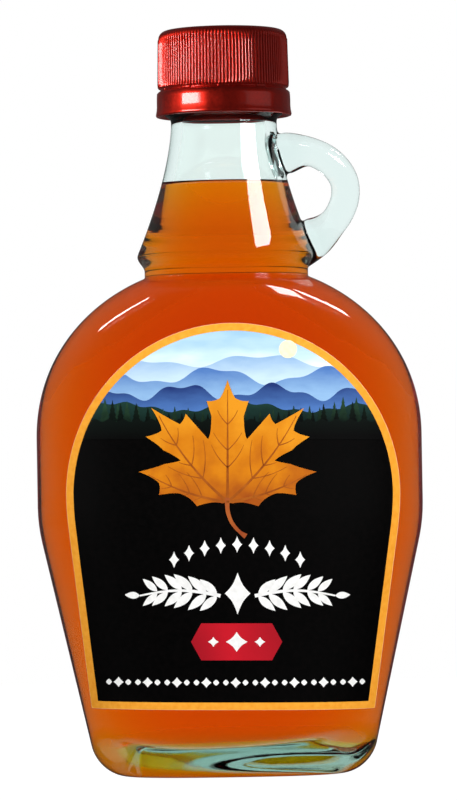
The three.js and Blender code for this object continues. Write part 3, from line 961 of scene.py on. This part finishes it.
def leafOutline():
    # each stretch between two corners sags a little inwards, as the edge does between teeth
    right = np.array(leaf["right"])
    left = right[:0:-1] * np.array([-1, 1])
    corners = np.vstack([right, left])[::-1]
    straight, t = alongSides(corners, 7)
    lengths = np.linalg.norm(np.roll(corners, -1, axis=0) - corners, axis=1)
    sag = leaf["cupping"] * lengths[:, None, None] * 4 * t * (1 - t)
    inwards = np.array(leaf["centre"]) - straight
    inwards /= np.linalg.norm(inwards, axis=2)[..., None]
    return leafPoint((straight + inwards * sag).reshape(-1, 2))


def veinPath(start, end, bow, count=14):
    # an arc from start to end that bows sideways by a share of its length
    start, end = np.asarray(start, float), np.asarray(end, float)
    t = np.linspace(0, 1, count)[:, None]
    across = np.array([-(end - start)[1], (end - start)[0]])
    return start + (end - start) * t + across * bow * 4 * t * (1 - t)


def insideLoop(points, loop):
    # even-odd test of points against a closed loop: counts the edges crossed on the way to the right
    x, y = points[:, None, 0], points[:, None, 1]
    a, b = loop[None], np.roll(loop, -1, axis=0)[None]
    spans = (a[..., 1] > y) != (b[..., 1] > y)
    rise = np.where(spans, b[..., 1] - a[..., 1], 1.0)
    crossing = a[..., 0] + (y - a[..., 1]) / rise * (b[..., 0] - a[..., 0])
    return (np.sum(spans & (x < crossing), axis=1) % 2) == 1


def sideVeins(path, isMiddle, edge):
    # pairs of twigs off a vein, each cut short where it would come within 15 per cent of the outline
    s = leaf
    strokes = []
    for share in s["twigsAt"]:
        start = path[int(share * (len(path) - 1))]
        ahead = path[-1] - start
        for turn in (s["twigTurn"], -s["twigTurn"]):
            spin = np.array([[math.cos(turn), -math.sin(turn)], [math.sin(turn), math.cos(turn)]])
            length = 0.36 if isMiddle and share < 0.4 else 0.5
            twig = veinPath(start, start + spin @ ahead * length, 0.06 * np.sign(turn), 24)
            within = insideLoop(leafPoint(start + (twig - start) * 1.15), edge)
            count = len(twig) if within.all() else int(np.argmin(within))
            twig = twig[:max(6, count)]
            widths = np.linspace(s["sideVeinWidth"], 0.08, len(twig))
            strokes.append(inkStroke(leafPoint(twig), widths, s["layer"] + 1))
    return strokes


def buildLeaf():
    # the blade, then tapering veins with their twigs, then the stalk over it
    s = leaf
    edge = leafOutline()
    steps = (0.02, 0.12, 0.3, 0.5, 0.7, 0.85, 1.0)
    shades = [(0.0, "#8e3c18"), (0.3, "#b46015"), (0.6, "#cd7914"), (1.0, "#e09220")]
    gold = inkMaterial("autumnGoldInk", shades, scale=0.13 / mm, axis="Z", span=(52, 80, 1.5))
    printPiece("labelLeaf", [inkShape(edge, leafPoint(s["centre"]), s["layer"], steps)], gold)
    strokes = []
    for u, v in s["veinTips"]:
        for side in (1, -1) if u else (1,):
            path = veinPath(s["veinRoot"], (u * side, v), -0.05 * side if u else 0.0)
            widths = np.linspace(s["veinWidth"], 0.12, len(path))
            strokes.append(inkStroke(leafPoint(path), widths, s["layer"] + 1))
            strokes += sideVeins(path, u == 0, edge)
    brown = inkMaterial("veinInk", [(0.3, "#8a4416"), (0.7, "#a85a1c")], scale=0.4 / mm)
    printPiece("labelLeafVeins", strokes, brown)
    stalk = veinPath(*s["stalk"], s["stalkBow"], 20)
    stalkWidth = np.concatenate([np.linspace(0.95, 0.7, 17), [0.8, 1.0, 1.15]])
    russet = inkMaterial("stalkInk", [(0.3, "#8d3f22"), (0.7, "#a95a2a")], scale=0.4 / mm)
    printPiece("labelLeafStalk", [inkStroke(leafPoint(stalk), stalkWidth, s["layer"] + 1)], russet)


buildLeaf()
print("leaf made")


# Ornaments in white and red where a label carries its wording: an arc of lozenges, a laurel band,
# a red plaque and a beaded rule

ornament = {
    "layer": 2,
    "arcCentre": (0.8, 20.5), "arcRadius": 29.0, "arcSpread": 0.95, "arcCount": 9, "lozenge": (1.05, 1.75),
    "laurelMiddle": (0.9, 39.2), "laurelReach": 20.6, "laurelGap": 3.6, "laurelLeaves": 6,
    "leafLength": 5.3, "leafWidth": 1.9, "middleLozenge": (2.7, 4.4),
    "plaqueMiddle": (0.7, 29.0), "plaque": (9.6, 3.9), "gem": (2.3, 2.1), "sideGem": (1.15, 1.05),
    "gemGap": 4.9,
    "ruleLevel": 20.4, "ruleReach": 26.8, "beads": 27, "bead": 0.62, "largeBead": 1.75,
}


def lozenge(centre, halfWidth, halfHeight, hollow=0.18):
    # four points with sides that curve in a little, or out where hollow is negative
    edge, t = alongSides(np.array([(1, 0), (0, 1), (-1, 0), (0, -1)], float), 6)
    edge = edge * (1 - hollow * 4 * t * (1 - t))
    return np.asarray(centre) + edge.reshape(-1, 2) * np.array([halfWidth, halfHeight])


def almond(base, direction, length, width):
    # a leaf blade: half-width = width / 2 * sin(pi t^0.85)^0.9 along its length
    direction = np.asarray(direction, float) / np.linalg.norm(direction)
    across = np.array([-direction[1], direction[0]])
    t = np.linspace(0, 1, 15)
    half = 0.5 * width * np.sin(math.pi * t ** 0.85) ** 0.9
    right = np.outer(t * length, direction) - np.outer(half, across)
    left = np.outer(t * length, direction) + np.outer(half, across)
    return np.asarray(base) + np.vstack([right, left[-2:0:-1]])


def laurel(side):
    # half a laurel band: a bowed stem with pairs of blades, smaller towards both ends, and one at its tip
    o = ornament
    across = side * np.linspace(o["laurelGap"], o["laurelReach"], 24)
    bow = 1.1 * np.sin(np.linspace(0, math.pi, 24)) - 0.5
    stem = np.array(o["laurelMiddle"]) + np.stack([across, bow], axis=-1)
    parts = [inkStroke(stem[::side], np.linspace(0.75, 0.35, 24)[::side], o["layer"])]
    for i in range(o["laurelLeaves"]):
        start = stem[1 + int(21 * i / o["laurelLeaves"])]
        size = 1.0 - 0.07 * abs(i - 1.5)
        for up in (1, -1):
            direction = (side * 1.0, up * 0.85)
            foot = start + (0, up * 0.25)
            blade = almond(foot, direction, o["leafLength"] * size, o["leafWidth"] * size)
            parts.append(inkShape(blade, blade.mean(axis=0), o["layer"]))
    tip = almond(stem[-1], (side, 0.05), o["leafLength"] * 0.6, o["leafWidth"] * 0.75)
    return parts + [inkShape(tip, tip.mean(axis=0), o["layer"])]


def beadedRule():
    # a row of round beads with a larger pointed one in every three
    o = ornament
    parts = []
    for i, u in enumerate(np.linspace(-o["ruleReach"], o["ruleReach"], o["beads"])):
        centre = np.array([u + 0.5, o["ruleLevel"]])
        large = i % 3 == 1
        half = o["bead"] * (o["largeBead"] if large else 1.0)
        parts.append(inkShape(lozenge(centre, half, half, 0.1 if large else -0.2), centre, o["layer"]))
    return parts


def plaqueOutline():
    # a six-sided plaque with pointed ends, each side divided in eight
    halfWidth, halfHeight = ornament["plaque"]
    inner = halfWidth - 0.55 * halfHeight
    corners = np.array([(halfWidth, 0), (inner, halfHeight), (-inner, halfHeight),
                        (-halfWidth, 0), (-inner, -halfHeight), (inner, -halfHeight)])
    return alongSides(corners, 8)[0].reshape(-1, 2)


def buildOrnaments():
    # arc: centre + radius (sin a, cos a) at even steps of a; the rest lies about its own middle
    o = ornament
    white = inkMaterial("whiteInk", [(0.3, "#e2e2e0"), (0.7, "#f1f1ef")])
    parts = []
    for angle in np.linspace(-o["arcSpread"], o["arcSpread"], o["arcCount"]) * 0.5:
        centre = np.array(o["arcCentre"]) + o["arcRadius"] * np.array([math.sin(angle), math.cos(angle)])
        parts.append(inkShape(lozenge(centre, *o["lozenge"]), centre, o["layer"]))
    parts += laurel(1) + laurel(-1)
    middle = np.array(o["laurelMiddle"])
    parts.append(inkShape(lozenge(middle, *o["middleLozenge"]), middle, o["layer"]))
    printPiece("labelOrnaments", parts + beadedRule(), white)

    centre = np.array(o["plaqueMiddle"])
    red = inkMaterial("redInk", [(0.0, "#8e1420"), (0.5, "#c01a28"), (1.0, "#9a1622")],
                      scale=0.12 / mm, axis="X", span=(-12, 12, 0.3))
    steps = (0.03, 0.2, 0.4, 0.6, 0.8, 1.0)
    printPiece("labelPlaque", [inkShape(centre + plaqueOutline(), centre, o["layer"], steps)], red)
    gems = [inkShape(lozenge(centre, *o["gem"]), centre, o["layer"] + 1)]
    for side in (1, -1):
        spot = centre + (side * o["gemGap"], 0)
        gems.append(inkShape(lozenge(spot, *o["sideGem"]), spot, o["layer"] + 1))
    printPiece("labelPlaqueGems", gems, white)


buildOrnaments()
print("ornaments made")


# Stage: a pale table, a light tent that is brighter behind the bottle, and lamps for print, cap and glass

studio = {
    "floorSize": 0.9, "floorGlow": 1.0,     # its size is in metres
    "tentEdge": (-0.25, 0.4), "backdrop": 1.0,
    "tentThrough": (0.52, 1.09),     # light that comes through the bottle from in front and from behind
    "tentMirrored": (0.04, 0.06),    # light that its surfaces mirror
    "lampDistance": 900, "lampAim": (0, 0, 90),
    "lamps": {
        # each lies between two directions (azimuth from -Y towards +X, elevation), and falls only on the
        # pieces whose names hold one of its words
        "capSoftBox": {
            "from": (-72, 8.5), "to": (-44, 8.5), "width": 150, "power": 4.6, "on": "cap and label",
        },
        "capFill": {"from": (35, 7), "to": (85, 7), "width": 400, "power": 0.36, "on": "cap"},
        "labelKey": {"from": (8, 14), "to": (60, 20), "width": 500, "power": 9.4, "on": "label"},
        "leftStrip": {"from": (-106, 41), "to": (-92, 55), "width": 45, "power": 0.9, "on": "glass"},
        "rightStrip": {"from": (93, 57), "to": (118, 43), "width": 45, "power": 0.9, "on": "glass"},
    },
    "neckLamp": {"place": (41, -33, 150), "aim": (6.5, -11, 122), "size": (24, 9), "power": 0.012},
}


def buildFloor():
    # matt grey card that looks white by its own glow, which the bottle's surfaces don't mirror
    half = studio["floorSize"] / 2
    corners = [(-half, -half, 0), (half, -half, 0), (half, half, 0), (-half, half, 0)]
    mesh = bpy.data.meshes.new("studioTable")
    mesh.from_pydata(corners, [], [(0, 1, 2, 3)])
    material, tree, shader, place = newMaterial("tablePaper", {"Roughness": 0.9})
    grain = addNode(tree, "ShaderNodeTexNoise", {"Scale": 0.04 / mm}, {"Vector": place})
    colour = addNode(tree, "ShaderNodeValToRGB", {}, {"Fac": grain.outputs["Fac"]})
    setRamp(colour, [(0.3, linear("#6e6d6c")), (0.7, linear("#727170"))])
    tree.links.new(colour.outputs["Color"], shader.inputs["Base Color"])
    shader.inputs["Emission Color"].default_value = linear("#ffffff")
    mirrored = addNode(tree, "ShaderNodeLightPath").outputs["Is Reflection Ray"]
    strength = studio["floorGlow"]
    glow = addNode(tree, "ShaderNodeMath", {"operation": "MULTIPLY_ADD", 1: -strength, 2: strength},
                   {0: mirrored})
    tree.links.new(glow.outputs["Value"], shader.inputs["Emission Strength"])
    mesh.materials.append(material)
    floor = bpy.data.objects.new("studioTable", mesh)
    bpy.context.scene.collection.objects.link(floor)


def buildTent():
    # brightness by direction along Y: bright behind the bottle and dimmer in front, and low for what is
    # mirrored, so that glass and lacquer stay clear; seen straight it is an even pale backdrop
    world = bpy.data.worlds.new("lightTent")
    bpy.context.scene.world = world
    world.use_nodes = True
    tree = world.node_tree
    tree.nodes.clear()
    direction = addNode(tree, "ShaderNodeTexCoord").outputs["Generated"]
    parts = addNode(tree, "ShaderNodeSeparateXYZ", {}, {"Vector": direction})
    low, high = studio["tentEdge"]
    facing = addNode(tree, "ShaderNodeMapRange", {
        "interpolation_type": "SMOOTHSTEP", "From Min": low, "From Max": high,
    }, {"Value": parts.outputs["Y"]})
    levels = []
    for front, back in (studio["tentThrough"], studio["tentMirrored"]):
        level = addNode(tree, "ShaderNodeMath", {"operation": "MULTIPLY_ADD", 1: back - front, 2: front},
                        {0: facing.outputs["Result"]})
        levels.append(level.outputs["Value"])
    path = addNode(tree, "ShaderNodeLightPath")
    level = addNode(tree, "ShaderNodeMix", {},
                    {"Factor": path.outputs["Is Reflection Ray"], 2: levels[0], 3: levels[1]})
    level = addNode(tree, "ShaderNodeMix", {3: studio["backdrop"]},
                    {"Factor": path.outputs["Is Camera Ray"], 2: level.outputs["Result"]})
    light = addNode(tree, "ShaderNodeBackground", {"Color": (1, 1, 1, 1)},
                    {"Strength": level.outputs["Result"]})
    addNode(tree, "ShaderNodeOutputWorld", {}, {"Surface": light.outputs["Background"]})


def receivers(choice):
    # the pieces that one lamp falls on, so that a lamp meant for print or lacquer leaves no glare on glass
    group = bpy.data.collections.new("receivers " + choice)
    words = choice.split(" and ")
    for piece in bpy.context.scene.objects:
        if piece.type == "MESH" and any(word in piece.name.lower() for word in words):
            group.objects.link(piece)
    return group


def makeLamp(name, size, power, choice):
    # a flat lamp that the camera does not see
    lamp = bpy.data.lights.new(name, "AREA")
    lamp.shape = "RECTANGLE"
    lamp.size, lamp.size_y = (edge * mm for edge in size)
    lamp.energy = power
    holder = bpy.data.objects.new(name, lamp)
    holder.visible_camera = False
    holder.light_linking.receiver_collection = receivers(choice)
    bpy.context.scene.collection.objects.link(holder)
    return holder


def buildLamps():
    # a soft box is as long as the chord between its two directions and faces the aim
    aim = Vector(studio["lampAim"])
    for name, lamp in studio["lamps"].items():
        ends = []
        for azimuth, elevation in (lamp["from"], lamp["to"]):
            turn, rise = math.radians(azimuth), math.radians(elevation)
            level = math.cos(rise)
            away = Vector((math.sin(turn) * level, -math.cos(turn) * level, math.sin(rise)))
            ends.append(aim + away * studio["lampDistance"])
        along = ends[1] - ends[0]
        place = (ends[0] + ends[1]) / 2
        facing = (place - aim).normalized()
        side = (along - facing * along.dot(facing)).normalized()
        holder = makeLamp(name, (along.length, lamp["width"]), lamp["power"], lamp["on"])
        axes = Matrix((side, facing.cross(side), facing)).transposed().to_4x4()
        holder.matrix_world = Matrix.Translation(place * mm) @ axes

    # a small near lamp leaves the upright gleam on the neck
    lamp = studio["neckLamp"]
    place, aim = Vector(lamp["place"]), Vector(lamp["aim"])
    holder = makeLamp("neckLamp", lamp["size"], lamp["power"], "glass")
    axes = (place - aim).to_track_quat("Z", "Y").to_matrix().to_4x4()
    holder.matrix_world = Matrix.Translation(place * mm) @ axes


buildFloor()
buildTent()
buildLamps()


# Camera: a long lens at bottle height, one metre off, tipped by the one degree that the bottle leans

view = {
    "distance": 1000.0, "eyeLevel": 63.0, "aimZ": 80.3, "spanHeight": 172.3,
    "leanDegrees": 0.97, "sensor": 36.0, "clip": (0.05, 20.0),     # the clip is in metres
}


def buildCamera():
    # focal length = sensor height * distance / height seen
    v = view
    lens = bpy.data.cameras.new("tableCamera")
    lens.sensor_fit = "VERTICAL"
    lens.sensor_height = v["sensor"]
    lens.lens = v["sensor"] / v["spanHeight"] * v["distance"]
    lens.clip_start, lens.clip_end = v["clip"]
    holder = bpy.data.objects.new("tableCamera", lens)
    eye = Vector((0, -v["distance"], v["eyeLevel"])) * mm
    aim = Vector((0, 0, v["aimZ"])) * mm
    turn = (eye - aim).to_track_quat("Z", "Y").to_matrix().to_4x4()
    lean = Matrix.Rotation(-math.radians(v["leanDegrees"]), 4, "Z")
    holder.matrix_world = Matrix.Translation(eye) @ turn @ lean
    bpy.context.scene.collection.objects.link(holder)
    bpy.context.scene.camera = holder


buildCamera()
bpy.context.scene.view_settings.view_transform = "Standard"
bpy.context.scene.cycles.transmission_bounces = 16
bpy.context.scene.cycles.max_bounces = 20
print("stage, lights and camera set")
